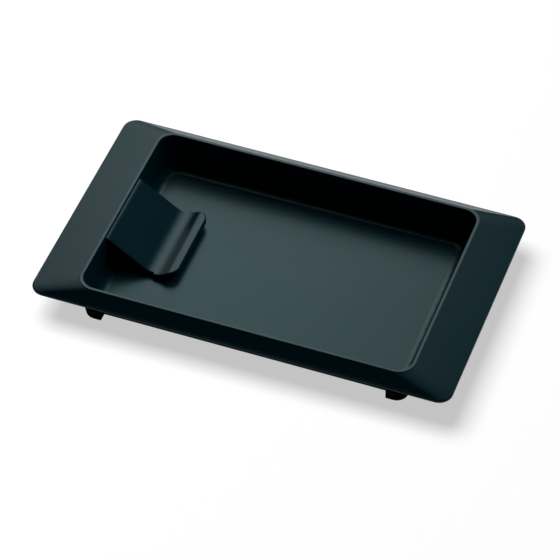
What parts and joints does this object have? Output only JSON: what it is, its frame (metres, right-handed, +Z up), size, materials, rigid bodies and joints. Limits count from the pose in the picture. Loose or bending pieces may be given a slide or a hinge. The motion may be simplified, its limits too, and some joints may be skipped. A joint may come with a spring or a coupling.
{
  "type": "guest check presenter tray",
  "caption": "Moulded bill tray with a deep rounded pocket, a sloping rim, corner feet and a sprung clip that holds the bill.",
  "frame": {"origin": "on the table, under the middle of the tray", "axes": "+X along the long side, away from the clip; +Y across the tray; +Z up"},
  "size_m": [0.18, 0.112, 0.0194],
  "materials": {
    "black_plastic": "satin moulded black plastic",
    "cover_plastic": "matt moulded black plastic",
    "steel_wire": "drawn steel wire",
    "screw_steel": "zinc-plated steel",
    "foot_rubber": "soft black non-slip rubber"
  },
  "bodies": {
    "tray": {"tray_shell": "black_plastic", "hinge_pin": "steel_wire", "clip_spring": "steel_wire", "hinge_cover": "cover_plastic", "cover_screws": "screw_steel", "front_left_foot": "foot_rubber", "front_right_foot": "foot_rubber", "rear_left_foot": "foot_rubber", "rear_right_foot": "foot_rubber"},
    "clip": {"clip_lever": "black_plastic"}
  },
  "joints": [
    {"name": "clip_hinge", "type": "hinge", "parent": "tray", "child": "clip", "pos_m": [-0.071, 0, 0.0144], "axis": [0, -1, 0], "range_deg": [0, 38], "stiffness_Nm_per_rad": 0.06, "springref_deg": -28.65, "deforming": ["clip_spring"]}
  ]
}
